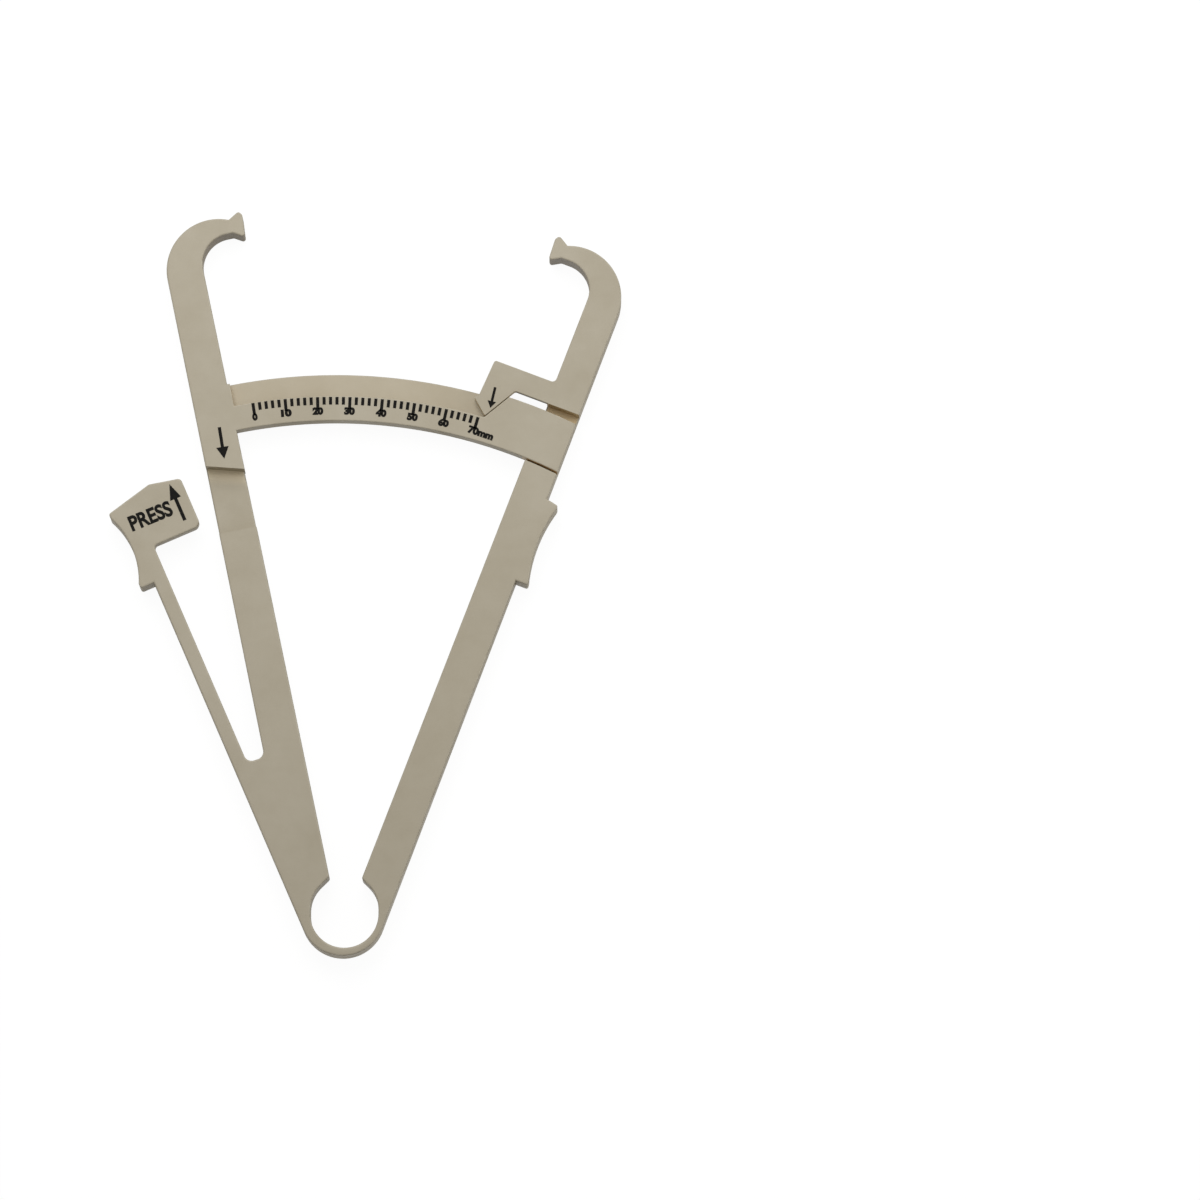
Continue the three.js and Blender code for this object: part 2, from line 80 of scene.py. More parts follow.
HOLE_RADIUS = 7.8
HOLE_CENTRE = Vector((2.4, 0.0))
HOLE_HEAD = Vector((2.4, 1.0))
RING_RADIUS = 9.65
RING_CENTRE = Vector((2.0, 0.0))
MOUTH_ANGLE = 45.0
MOUTH_ROUND = 0.6
RIM_TURN = 95.0
RIM_STUB = 2.0

HOOK_BACK = 12.0
HOOK_BACK_TURN = 112.5
HOOK_THROAT = 7.0
HOOK_THROAT_SHIFT = 0.85
HOOK_THROAT_TURN = 92.0
HOOK_NECK = 16.9
PAD_DEPTH = 19.757
PAD_TOP = 12.6
PAD_FOOT = 6.3
PAD_EAR_LEAN = 0.8
PAD_ROUND = 1.0
PAD_FOOT_ROUND = 0.6
PAD_ROOT = 16.257

LEVER_ANGLE = -23.44
BLADE_THICKNESS = 3.3
SLOT_FLOOR = 39.9
SLOT_ROUND = 1.8
BLADE_TOP = 85.9
THUMB_FOOT = 86.7
THUMB_HORN = 3.3
THUMB_TOP = 105.5
THUMB_SCOOP = 1.8
THUMB_SCOOP_START = 1.2
THUMB_HORN_ROUND = 0.6
HIP_RISE = 2.7
HIP_ACROSS = 11.1
WEB_FOOT = 8.0
SEAT_FOOT = 91.3
SEAT_TOP = 107.45
SEAT_TOP_INNER = 105.05
SEAT_TOP_ROUND = 1.1


def polar(radius, degrees, centre=ORIGIN):
    """A point by its distance and direction from a centre."""
    turn = math.radians(degrees)
    return Vector((math.sin(turn), math.cos(turn))) * radius + centre


def along(degrees, station, offset):
    """A point by its distance along a member from the pivot, and its distance to the right of that line."""
    return polar(station, degrees) + polar(offset, degrees + 90)


def crossing(a, b, c, d):
    """Where the line through a and b meets the line through c and d."""
    ab, cd = b - a, d - c
    return a + ab * ((c - a).cross(cd) / ab.cross(cd))


def arc(centre, radius, start, end, step=FINE_STEP):
    """Sharp outline points along a round, from one direction to the other."""
    count = max(FEWEST_STEPS, math.ceil(abs(end - start) / step))
    return [(polar(radius, start + (end - start) * i / count, centre), 0) for i in range(count + 1)]


def scoop(start, end, depth):
    """The shallow arc from start to end that bulges by depth to the left of the way."""
    half = (end - start) / 2
    radius = (half.length_squared + depth * depth) / (2 * depth)
    left = Vector((-half.y, half.x)).normalized()
    centre = start + half + left * (depth - radius)
    sweep = math.degrees(math.asin(half.length / radius))
    middle = math.degrees(math.atan2(left.x, left.y))
    return arc(centre, radius, middle - sweep, middle + sweep, FINE_STEP / 2)


def outline(corners):
    """Closed run of points, with each (point, round) corner rounded as it asks."""
    points = []
    for i, (point, round_) in enumerate(corners):
        if not round_:
            points.append(point.copy())
            continue
        before = corners[i - 1][0] - point
        after = corners[(i + 1) % len(corners)][0] - point
        half = before.angle(after) / 2
        trim = min(round_ / math.tan(half), before.length / 2, after.length / 2)
        radius = trim * math.tan(half)
        middle = (before.normalized() + after.normalized()).normalized()
        centre = point + middle * (radius / math.sin(half))
        start = point + before.normalized() * trim - centre
        end = point + after.normalized() * trim - centre
        turn = math.atan2(start.cross(end), start.dot(end))
        count = max(FEWEST_STEPS, math.ceil(math.degrees(abs(turn)) / CORNER_STEP))
        for k in range(count + 1):
            angle = turn * k / count
            points.append(centre + Vector((
                start.x * math.cos(angle) - start.y * math.sin(angle),
                start.x * math.sin(angle) + start.y * math.cos(angle))))
    area = sum(a.cross(b) for a, b in zip(points, points[1:] + points[:1]))
    return points if area > 0 else points[::-1]


def in_frame(point, height):
    """A point of the plan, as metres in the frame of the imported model."""
    return Vector((point.x + pivot.x, point.y + pivot.y, height)) * MM


def linked(name, mesh):
    data = bpy.data.meshes.new(name)
    mesh.to_mesh(data)
    mesh.free()
    made = bpy.data.objects.new(name, data)
    bpy.context.scene.collection.objects.link(made)
    return made


def edge_profile(bottom, top, edge_round, rings=5):
    """How far in from the outline, and how high, each ring of points lies on a wall with rounded edges."""
    levels = []
    for k in range(rings + 1 if edge_round else 1):
        lift = math.radians(90 * k / rings)
        levels.append((edge_round * (1 - math.sin(lift)), edge_round * (1 - math.cos(lift))))
    return [(inset, bottom + rise) for inset, rise in levels] + [
        (inset, top - rise) for inset, rise in reversed(levels)]


def solid(name, points, bottom, top, edge_round=EDGE_ROUND):
    """A moulded piece: its outline from bottom to top, with its edges rounded."""
    points = [p for i, p in enumerate(points) if (p - points[i - 1]).length > SAME_PLACE]
    inward = []
    for i, point in enumerate(points):
        before = (point - points[i - 1]).normalized()
        after = (points[(i + 1) % len(points)] - point).normalized()
        left_before = Vector((-before.y, before.x))
        left_after = Vector((-after.y, after.x))
        inward.append((left_before + left_after) / (1 + left_before.dot(left_after)))
    mesh = bmesh.new()
    loops = [[mesh.verts.new(in_frame(p + n * inset, height)) for p, n in zip(points, inward)]
             for inset, height in edge_profile(bottom, top, edge_round)]
    for low, high in zip(loops, loops[1:]):
        for i in range(len(points)):
            mesh.faces.new((low[i - 1], low[i], high[i], high[i - 1]))
    mesh.faces.new(loops[0][::-1])
    mesh.faces.new(loops[-1])
    return linked(name, mesh)


def applied(made):
    """The same object, with its modifiers worked into its mesh."""
    old = made.data
    made.data = bpy.data.meshes.new_from_object(made.evaluated_get(bpy.context.evaluated_depsgraph_get()))
    made.data.name = made.name
    made.modifiers.clear()
    bpy.data.meshes.remove(old)
    return made


def carved(made, operation, tool):
    """The same object, with another joined to it, taken out of it or laid over it."""
    change = made.modifiers.new("carve", "BOOLEAN")
    change.operation = operation
    change.solver = "EXACT"
    change.object = tool
    return applied(made)


def cut(made, points, operation="DIFFERENCE", bottom=-FAR, top=FAR):
    """Takes a straight-sided block out of a piece, or keeps only what lies inside it."""
    tool = solid("tool", outline([(p, 0) for p in points]), bottom, top, 0)
    carved(made, operation, tool)
    bpy.data.objects.remove(tool)
    return made


def beyond(degrees, station, reach=4 * FAR):
    """A block that covers everything further along a member than the station."""
    return [along(degrees, station, -reach), along(degrees, station, reach),
            along(degrees, station + reach, reach), along(degrees, station + reach, -reach)]


def copy_of(made, name):
    twin = made.copy()
    twin.data = made.data.copy()
    twin.name = name
    bpy.context.scene.collection.objects.link(twin)
    return twin


def split(made, name, points):
    """Divides a piece in two: what lies inside the block gets the name, and the rest stays."""
    inside = cut(copy_of(made, name), points, "INTERSECT")
    return inside, cut(made, points)


def renamed(made, name):
    made.name = name
    made.data.name = name
    return made


def on_left(station, depth):
    return along(LEFT_ANGLE, station, LEFT_OUTER + depth)


def on_lever(station, offset):
    return along(LEVER_ANGLE, station, offset)


def ring_tangent(degrees, side):
    return RING_CENTRE.dot(polar(1, degrees + 90)) + side * RING_RADIUS


LEVER_OUTER = ring_tangent(LEVER_ANGLE, -1)
LEVER_INNER = LEVER_OUTER + BLADE_THICKNESS


def mouth(arm_foot, arm_head, side):
    """Where an arm's inner edge meets the straight lip that leaves the ring's hole."""
    leaves = polar(HOLE_RADIUS, side * MOUTH_ANGLE, HOLE_HEAD)
    onwards = leaves + polar(HOLE_RADIUS, side * (MOUTH_ANGLE - 90))
    return crossing(leaves, onwards, arm_foot, arm_head)


def hole_rim(side):
    """The hole's rim from an arm's mouth down to the ring, and straight on past where they are divided."""
    end = side * RIM_TURN
    return [*arc(HOLE_HEAD, HOLE_RADIUS, side * MOUTH_ANGLE, side * 90),
            *arc(HOLE_CENTRE, HOLE_RADIUS, side * 90, end),
            (polar(HOLE_RADIUS, end, HOLE_CENTRE) + polar(RIM_STUB, end + side * 90), 0)]


def outer_stub(a, b, side):
    """Where the outer edge of an arm is level with the end of the rim."""
    level = hole_rim(side)[-1][0]
    return crossing(a, b, level, level + Vector((1, 0))), 0


def hook(on_arm, reach, width):
    """A jaw, from the outer edge of its arm over the top and round to the inner edge."""
    def place(station, depth):
        return on_arm(reach + station, depth)

    def bend(station, depth, radius, turn):
        count = math.ceil(turn / FINE_STEP)
        turns = [math.radians(turn * i / count) for i in range(count + 1)]
        return [(place(station + radius * math.sin(a), depth - radius * math.cos(a)), 0) for a in turns]

    middle = place((PAD_TOP + PAD_FOOT) / 2, PAD_DEPTH)

    def on_face(station):
        return crossing(ORIGIN, middle, place(station, 0), place(station, PAD_DEPTH))

    lean = (on_face(PAD_TOP) - place(PAD_TOP, 0)).normalized() * PAD_EAR_LEAN
    return [
        *bend(0, HOOK_BACK, HOOK_BACK, HOOK_BACK_TURN),
        (on_face(PAD_TOP) - lean, PAD_ROUND),
        (on_face(PAD_TOP - PAD_ROUND), PAD_ROUND),
        (on_face(PAD_FOOT), PAD_FOOT_ROUND),
        (place(HOOK_THROAT_SHIFT + HOOK_THROAT, HOOK_NECK), PAD_ROUND),
        *bend(HOOK_THROAT_SHIFT, width + HOOK_THROAT, HOOK_THROAT, HOOK_THROAT_TURN)[::-1],
    ]


slot_apex = crossing(on_lever(0, LEVER_INNER), on_lever(SLOT_FLOOR, LEVER_INNER), on_left(0, 0),
                     on_left(SLOT_FLOOR, 0))
slot_at_lever = on_lever(SLOT_FLOOR, LEVER_INNER)
slot_at_arm = slot_apex + polar((slot_at_lever - slot_apex).length, LEFT_ANGLE)
horn_offset = LEVER_OUTER - THUMB_HORN
horn_top = on_lever(THUMB_TOP, horn_offset)
tab_peak = on_lever(THUMB_TOP + HIP_RISE, horn_offset + HIP_ACROSS)
rest_corner = crossing(horn_top, tab_peak, on_lever(0, LEVER_INNER), on_lever(THUMB_TOP, LEVER_INNER))

left_half = solid("left_half", outline([
    *hook(on_left, LEFT_REACH, LEFT_WIDTH_AT_JAW),
    (mouth(on_left(0, LEFT_WIDTH_AT_RING), on_left(HOLE_RADIUS, LEFT_WIDTH_AT_RING), -1), MOUTH_ROUND),
    *hole_rim(-1),
    outer_stub(on_lever(0, LEVER_OUTER), on_lever(FAR, LEVER_OUTER), -1),
    (on_lever(THUMB_FOOT, LEVER_OUTER), 0),
    (on_lever(THUMB_FOOT, horn_offset), THUMB_HORN_ROUND),
    *scoop(on_lever(THUMB_FOOT + THUMB_SCOOP_START, horn_offset),
           on_lever(THUMB_TOP - THUMB_SCOOP_START, horn_offset), -THUMB_SCOOP),
    (horn_top, THUMB_HORN_ROUND),
    (rest_corner, 0),
    (slot_at_lever, SLOT_ROUND),
    (slot_at_arm, SLOT_ROUND),
]), 0, THICKNESS)
ring_side = [Vector((-FAR, 0)), Vector((FAR, 0)), Vector((FAR, -FAR)), Vector((-FAR, -FAR))]
cut(left_half, ring_side)
left_whole = copy_of(left_half, "left_whole")

slot_head = SLOT_FLOOR + SLOT_ROUND + BLADE_THICKNESS
lever_side, left_strip = split(left_half, "lever_side", [
    on_left(WEB_FOOT, 0),
    on_left(slot_head, 0),
    on_left(slot_head, -SLOT_ROUND / 2),
    on_left(THUMB_TOP + FAR, -SLOT_ROUND / 2),
    on_lever(THUMB_TOP + FAR, -2 * FAR),
    on_lever(-FAR, -2 * FAR),
    on_left(WEB_FOOT, -FAR),
])
lever_end, web = split(lever_side, "lever_end", beyond(LEVER_ANGLE, SLOT_FLOOR + SLOT_ROUND))
thumb_hold, blade_blank = split(lever_end, "thumb_hold", beyond(LEVER_ANGLE, BLADE_TOP))
bpy.data.objects.remove(blade_blank)
left_above_foot, left_arm = split(left_strip, "left_above_foot", beyond(LEFT_ANGLE, SEAT_FOOT))


def on_seat_top(depth):
    return on_left(SEAT_TOP + (SEAT_TOP_INNER - SEAT_TOP) * depth / LEFT_WIDTH_AT_JAW, depth)


left_above_seat, seat_blank = split(left_above_foot, "left_above_seat", [
    on_seat_top(-FAR), on_seat_top(FAR), on_left(LEFT_REACH + FAR, FAR), on_left(LEFT_REACH + FAR, -FAR)])
bpy.data.objects.remove(seat_blank)
left_hook_whole, left_arm_top = split(left_above_seat, "left_hook_whole", beyond(LEFT_ANGLE, LEFT_REACH))
left_pad, left_hook = split(left_hook_whole, "left_pad", [
    on_left(0, PAD_ROOT), on_left(LEFT_REACH + FAR, PAD_ROOT),
    on_left(LEFT_REACH + FAR, FAR), on_left(0, FAR),
])

STEP_ROUND = 0.35
ON_LEVEL = 0.01
ON_LINE = 0.02


def step_edges_eased(made, height, on_step, width=STEP_ROUND):
    """Rounds the sharp upper edges that a step leaves, where both ends lie on the step."""
    mesh = bmesh.new()
    mesh.from_mesh(made.data)

    def on_edge(place):
        return abs(place.z / MM - height) < ON_LEVEL and on_step(place.xy / MM - pivot)

    edges = [e for e in mesh.edges if all(on_edge(v.co) for v in e.verts)]
    bmesh.ops.bevel(mesh, geom=edges, offset=width * MM, segments=4, profile=0.5, affect="EDGES",
                    clamp_overlap=True)
    mesh.to_mesh(made.data)
    mesh.free()
    return made


def beside(a, b):
    """A test of whether a point lies on the line through a and b."""
    way = (b - a).normalized()
    return lambda point: abs((point - a).cross(way)) < ON_LINE


on_seat_edge = beside(on_seat_top(0), on_seat_top(LEFT_WIDTH_AT_JAW))
step_edges_eased(left_arm_top, THICKNESS, on_seat_edge, SEAT_TOP_ROUND)
step_edges_eased(left_arm, THICKNESS, beside(on_left(SEAT_FOOT, 0), on_left(SEAT_FOOT, LEFT_WIDTH_AT_JAW)))

SHARP_EDGE = math.radians(40)


def smoothed(made):
    """Smooth walls and rounds, with flat faces left flat."""
    made.data.polygons.foreach_set("use_smooth", [True] * len(made.data.polygons))
    made.data.set_sharp_from_angle(angle=SHARP_EDGE)
    weigh = made.modifiers.new("weigh", "WEIGHTED_NORMAL")
    weigh.keep_sharp = True
    return applied(made)


def moulded_surface():
    """What every moulded face shows: faint clouds, a fine grain, rubbed edges, and painted shade that makes
    the side walls darker.
    """
    group = bpy.data.node_groups.new("moulded_surface", "ShaderNodeTree")
    face = group.interface
    for label, kind in (("Colour", "NodeSocketColor"), ("Cloud", "NodeSocketFloat"),
                        ("Wear", "NodeSocketFloat"), ("Roughness", "NodeSocketFloat")):
        face.new_socket(label, in_out="INPUT", socket_type=kind)
    for label, kind in (("Colour", "NodeSocketColor"), ("Roughness", "NodeSocketFloat"),
                        ("Height", "NodeSocketFloat")):
        face.new_socket(label, in_out="OUTPUT", socket_type=kind)
    nodes, link = group.nodes, group.links.new
    given = nodes.new("NodeGroupInput")
    result = nodes.new("NodeGroupOutput")
    place = nodes.new("ShaderNodeTexCoord")

    def noise(scale, detail):
        made = nodes.new("ShaderNodeTexNoise")
        made.inputs["Scale"].default_value = scale
        made.inputs["Detail"].default_value = detail
        link(place.outputs["Object"], made.inputs["Vector"])
        return made.outputs["Fac"]

    def spread(value, low, high, to_low, to_high):
        made = nodes.new("ShaderNodeMapRange")
        link(value, made.inputs["Value"])
        for label, number in (("From Min", low), ("From Max", high), ("To Min", to_low), ("To Max", to_high)):
            made.inputs[label].default_value = number
        return made.outputs["Result"]

    def joined(operation, a, b=None):
        made = nodes.new("ShaderNodeMath")
        made.operation = operation
        link(a, made.inputs[0])
        if b is not None:
            link(b, made.inputs[1])
        return made.outputs[0]

    def tint(factor, colour, shade, blend="MULTIPLY"):
        made = nodes.new("ShaderNodeMix")
        made.data_type = "RGBA"
        made.blend_type = blend
        link(factor, made.inputs["Factor"])
        link(colour, made.inputs["A"])
        made.inputs["B"].default_value = shade
        return made.outputs["Result"]

    clouds = spread(noise(70, 4), 0.35, 0.65, 0, 1)
    patches = spread(noise(260, 3), 0.4, 0.7, 0, 1)
    grain = noise(2600, 3)
    swell = noise(900, 2)
    axes = nodes.new("ShaderNodeSeparateXYZ")
    link(place.outputs["Normal"], axes.inputs[0])
    tilt = joined("ABSOLUTE", axes.outputs["Z"])
    on_round = joined("MULTIPLY", spread(tilt, 0.15, 0.55, 0, 1), spread(tilt, 0.99, 0.85, 0, 1))
    rubbed = joined("MULTIPLY", on_round, spread(noise(420, 3), 0.35, 0.6, 0.2, 1))

    cloud = given.outputs["Cloud"]
    cloudy = tint(joined("MULTIPLY", cloud, clouds), given.outputs["Colour"], (0.80, 0.77, 0.70, 1))
    speckled = tint(joined("MULTIPLY", cloud, patches), cloudy, (0.86, 0.84, 0.80, 1))
    # Painted shade: the side walls are darkened and browned by their tilt, standing in for the light they
    # miss.
    walls_painted_darker = tint(spread(tilt, 0.75, 0.25, 0, 1), speckled, (0.82, 0.78, 0.68, 1))
    pale = tint(joined("MULTIPLY", rubbed, given.outputs["Wear"]), walls_painted_darker, (0.80, 0.76, 0.66, 1), "MIX")
    link(pale, result.inputs["Colour"])
    uneven = spread(joined("ADD", clouds, grain), 0.3, 1.5, 0.88, 1.12)
    link(joined("MULTIPLY", given.outputs["Roughness"], uneven), result.inputs["Roughness"])
    link(joined("ADD", grain, swell), result.inputs["Height"])
    return group


surface = moulded_surface()


def plastic(name, colour, cloud=0.22, wear=0.20):
    """Moulded plastic of one colour, with the shared surface at its own strengths."""
    made = bpy.data.materials.new(name)
    made.use_nodes = True
    nodes, link = made.node_tree.nodes, made.node_tree.links.new
    shader = nodes["Principled BSDF"]
    effect = nodes.new("ShaderNodeGroup")
    effect.node_tree = surface
    effect.inputs["Colour"].default_value = colour
    effect.inputs["Cloud"].default_value = cloud
    effect.inputs["Wear"].default_value = wear
    effect.inputs["Roughness"].default_value = 0.50
    bump = nodes.new("ShaderNodeBump")
    bump.inputs["Strength"].default_value = 0.35
    bump.inputs["Distance"].default_value = 0.03 * MM
    link(effect.outputs["Colour"], shader.inputs["Base Color"])
    link(effect.outputs["Roughness"], shader.inputs["Roughness"])
    link(effect.outputs["Height"], bump.inputs["Height"])
    link(bump.outputs["Normal"], shader.inputs["Normal"])
    shader.inputs["Specular IOR Level"].default_value = 0.4
    return made


IVORY = (0.385, 0.345, 0.262, 1)
ivory = plastic("ivory_abs", IVORY)


def dressed(made, *nodes):
    """Smooths a piece, gives it the plastic, and puts it in the place of its node."""
    smoothed(made)
    made.data.materials.clear()
    made.data.materials.append(ivory)
    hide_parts(*nodes)
    return made


# Painted light: a pale amber glow for faces in narrow gaps, standing in for light that comes through the
# plastic.
glow_painted_ivory = plastic("abs_painted_gap_glow", (0.68, 0.53, 0.31, 1), cloud=0.15, wear=0.0)
# Painted shade: a dark brown for the walls in the hooks' throats.
shade_painted_ivory = plastic("abs_painted_hollow_shade", (0.19, 0.15, 0.085, 1), cloud=0.15, wear=0.0)
WALL_TILT = 0.3
LOOKS_BACK = 0.3
FLAT = 0.9


def warmed(made, within, painted_material=glow_painted_ivory):
    """Gives some faces another material that paints light or shade: a painted glow on faces in narrow gaps,
    for light that comes through the plastic, and painted shade in hollows.
    """
    made.data.materials.append(painted_material)
    for face in made.data.polygons:
        if within((face.center / MM).to_2d() - pivot, face.center.z / MM, face.normal):
            face.material_index = len(made.data.materials) - 1
    return made


def wall_facing(degrees):
    """The walls that look back down an arm at this angle, such as those in a hook's throat."""
    back = polar(1, degrees + 180).to_3d()
    return lambda point, height, normal: abs(normal.z) < WALL_TILT and normal.dot(back) > LOOKS_BACK


def wall_beside(a, b):
    """The walls on the line through a and b."""
    on_line = beside(a, b)
    return lambda point, height, normal: abs(normal.z) < WALL_TILT and on_line(point)


def facing_up(point, height, normal):
    return normal.z > FLAT


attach(dressed(left_arm, "fixed_arm_lower"), "fixed_arm")
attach(dressed(web, "lever_web"), "fixed_arm")
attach(dressed(thumb_hold, "thumb_rest"), "press_lever")
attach(dressed(left_arm_top, "fixed_arm_upper"), "fixed_arm")
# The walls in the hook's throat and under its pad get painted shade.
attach(warmed(dressed(left_hook, "fixed_jaw"), wall_facing(LEFT_ANGLE), shade_painted_ivory), "fixed_arm")
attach(warmed(dressed(left_pad, "fixed_jaw_pad"), wall_facing(LEFT_ANGLE), shade_painted_ivory), "fixed_arm")

# The recess in the left arm that the press tab swings over, beside the arrow that the tab's has to meet.
# It is moulded with the arm, which goes on below it less than half as thick.

SEAT_FLOOR = 3.3
SEAT_FOOT_SPREAD = 0.15
NEXT_TO_STEP = 6.0
# Painted light: the seat's floor is paler near the step, over this distance and towards this colour.
SEAT_PAINTED_GLOW_REACH = 4.5
SEAT_PAINTED_GLOW_COLOUR = (0.66, 0.57, 0.40, 1)

tab_recess = solid("tab_recess", outline([
    (on_left(SEAT_FOOT - NEXT_TO_STEP, 0), 0),
    (on_left(SEAT_TOP + NEXT_TO_STEP, 0), 0),
    (on_left(SEAT_TOP + NEXT_TO_STEP, LEFT_WIDTH_AT_JAW), 0),
    (on_left(SEAT_FOOT - NEXT_TO_STEP, LEFT_WIDTH_AT_JAW + SEAT_FOOT_SPREAD), 0),
]), 0, SEAT_FLOOR)
cut(tab_recess, [
    on_left(SEAT_FOOT, -FAR / 3), on_left(SEAT_FOOT, FAR / 3), on_seat_top(FAR / 3), on_seat_top(-FAR / 3),
], "INTERSECT")


def seat_finish():
    """The moulded plastic with a painted glow: paler towards the step, standing in for the light that comes
    out of the thick plastic beside it.
    """
    made = plastic("abs_painted_step_glow", IVORY)
    nodes, link = made.node_tree.nodes, made.node_tree.links.new
    shader = nodes["Principled BSDF"]
    plain = shader.inputs["Base Color"].links[0].from_socket
    place = nodes.new("ShaderNodeTexCoord")
    way = nodes.new("ShaderNodeVectorMath")
    way.operation = "DOT_PRODUCT"
    link(place.outputs["Object"], way.inputs[0])
    way.inputs[1].default_value = (on_seat_top(0) - on_seat_top(1)).orthogonal().normalized().to_3d()
    ramp = nodes.new("ShaderNodeMapRange")
    ramp.interpolation_type = "SMOOTHERSTEP"
    at_step = in_frame(on_seat_top(LEFT_WIDTH_AT_JAW / 2), 0).dot(way.inputs[1].default_value)
    ramp.inputs["From Min"].default_value = at_step - math.copysign(SEAT_PAINTED_GLOW_REACH * MM, at_step)
    ramp.inputs["From Max"].default_value = at_step
    link(way.outputs["Value"], ramp.inputs["Value"])
    mix = nodes.new("ShaderNodeMix")
    mix.data_type = "RGBA"
    link(ramp.outputs["Result"], mix.inputs["Factor"])
    link(plain, mix.inputs["A"])
    mix.inputs["B"].default_value = SEAT_PAINTED_GLOW_COLOUR
    link(mix.outputs["Result"], shader.inputs["Base Color"])
    return made


dressed(tab_recess, "press_seat")
# The seat's floor gets a painted glow beside the step.
warmed(tab_recess, facing_up, seat_finish())
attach(tab_recess, "fixed_arm")

# The blade is the lever's spring: a slim bar that runs from its root in the web up to the thumb rest.
# It is moulded with both, at the full thickness, and bends in an S when the thumb rest is pressed.

BLADE_STATIONS = 48


def swept(name, walls):
    """A bar of rounded section, by the places of its two walls, one pair for each section."""
    mesh = bmesh.new()
    profile = edge_profile(0, THICKNESS, EDGE_ROUND)
    loops = []
    for left, right in walls:
        across = (right - left).normalized()
        up = [in_frame(left + across * inset, height) for inset, height in profile]
        down = [in_frame(right - across * inset, height) for inset, height in reversed(profile)]
        loops.append([mesh.verts.new(place) for place in up + down])
    for near, far in zip(loops, loops[1:]):
        for i in range(len(near)):
            mesh.faces.new((near[i - 1], near[i], far[i], far[i - 1]))
    mesh.faces.new(loops[0][::-1])
    mesh.faces.new(loops[-1])
    bmesh.ops.recalc_face_normals(mesh, faces=mesh.faces)
    return linked(name, mesh)


blade_root = SLOT_FLOOR + SLOT_ROUND
stations = [blade_root + (BLADE_TOP - blade_root) * i / BLADE_STATIONS for i in range(BLADE_STATIONS + 1)]
blade = swept("blade", [(on_lever(s, LEVER_OUTER), on_lever(s, LEVER_INNER)) for s in stations])
dressed(blade, "lever_blade")
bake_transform(blade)

# The right half of the moulding: arm, hooked jaw and the hold for the index finger.
# It is one moulding with the left half, cut away at the front where the scale bar slides across it.

RIGHT_ANGLE = 20.75
RIGHT_WIDTH_AT_RING = 8.45
RIGHT_WIDTH_AT_JAW = 7.85
RIGHT_REACH = 152.85
FINGER_FOOT = 86.6
FINGER_TOP = 106.9
FINGER_HORN = 2.85
FINGER_HORN_ROUND = 0.45
FINGER_SCOOP = 1.2
FINGER_SCOOP_START = 0.9
FINGER_SLANT = 0.6
CHANNEL_FLOOR = 113.65
CHANNEL_TOP = 127.8
CHANNEL_BEFORE = 14.0
CHANNEL_AFTER = 4.0
SCALE_STEP = 0.5
LEEWAY = 0.1

RIGHT_OUTER = ring_tangent(RIGHT_ANGLE, 1)


def on_right(station, depth):
    return along(RIGHT_ANGLE, station, RIGHT_OUTER - depth)


right_half = solid("right_half", outline([
    (mouth(on_right(0, RIGHT_WIDTH_AT_RING), on_right(HOLE_RADIUS, RIGHT_WIDTH_AT_RING), 1), MOUTH_ROUND),
    *hook(on_right, RIGHT_REACH, RIGHT_WIDTH_AT_JAW)[::-1],
    (on_right(FINGER_TOP, 0), 0),
    (on_right(FINGER_TOP - FINGER_SLANT, -FINGER_HORN), FINGER_HORN_ROUND),
    *scoop(on_right(FINGER_TOP - FINGER_SLANT - FINGER_SCOOP_START, -FINGER_HORN),
           on_right(FINGER_FOOT + FINGER_SCOOP_START, -FINGER_HORN), -FINGER_SCOOP),
    (on_right(FINGER_FOOT, -FINGER_HORN), FINGER_HORN_ROUND),
    (on_right(FINGER_FOOT, 0), 0),
    outer_stub(on_right(0, 0), on_right(FAR, 0), 1),
    *hole_rim(1)[::-1],
]), 0, THICKNESS)
cut(right_half, ring_side)
right_whole = copy_of(right_half, "right_whole")

finger_hold, right_strip = split(right_half, "finger_hold", [
    on_right(FINGER_FOOT, 0), on_right(FINGER_FOOT, -FAR),
    on_right(FINGER_TOP, -FAR), on_right(FINGER_TOP, 0),
])
channel_start = RIGHT_ANGLE + CHANNEL_BEFORE
channel_end = RIGHT_ANGLE - CHANNEL_AFTER
channel = [
    *[p for p, _ in arc(ORIGIN, CHANNEL_FLOOR, channel_start, channel_end, SCALE_STEP)],
    on_right(CHANNEL_TOP, RIGHT_WIDTH_AT_RING + FAR / 4),
    on_right(CHANNEL_TOP, -FAR / 4),
]
cut(right_strip, channel)
channel_middle = (CHANNEL_FLOOR + CHANNEL_TOP) / 2
right_above, right_arm = split(right_strip, "right_above", beyond(RIGHT_ANGLE, channel_middle))
right_hook_whole, right_arm_top = split(right_above, "right_hook_whole", beyond(RIGHT_ANGLE, RIGHT_REACH))
right_pad, right_hook = split(right_hook_whole, "right_pad", [
    on_right(0, PAD_ROOT), on_right(RIGHT_REACH + FAR, PAD_ROOT),
    on_right(RIGHT_REACH + FAR, FAR), on_right(0, FAR),
])
step_edges_eased(right_arm_top, THICKNESS, beside(on_right(CHANNEL_TOP, 0), on_right(CHANNEL_TOP, FAR)))
step_edges_eased(right_arm, THICKNESS, lambda p: abs(p.length - CHANNEL_FLOOR) < ON_LINE)
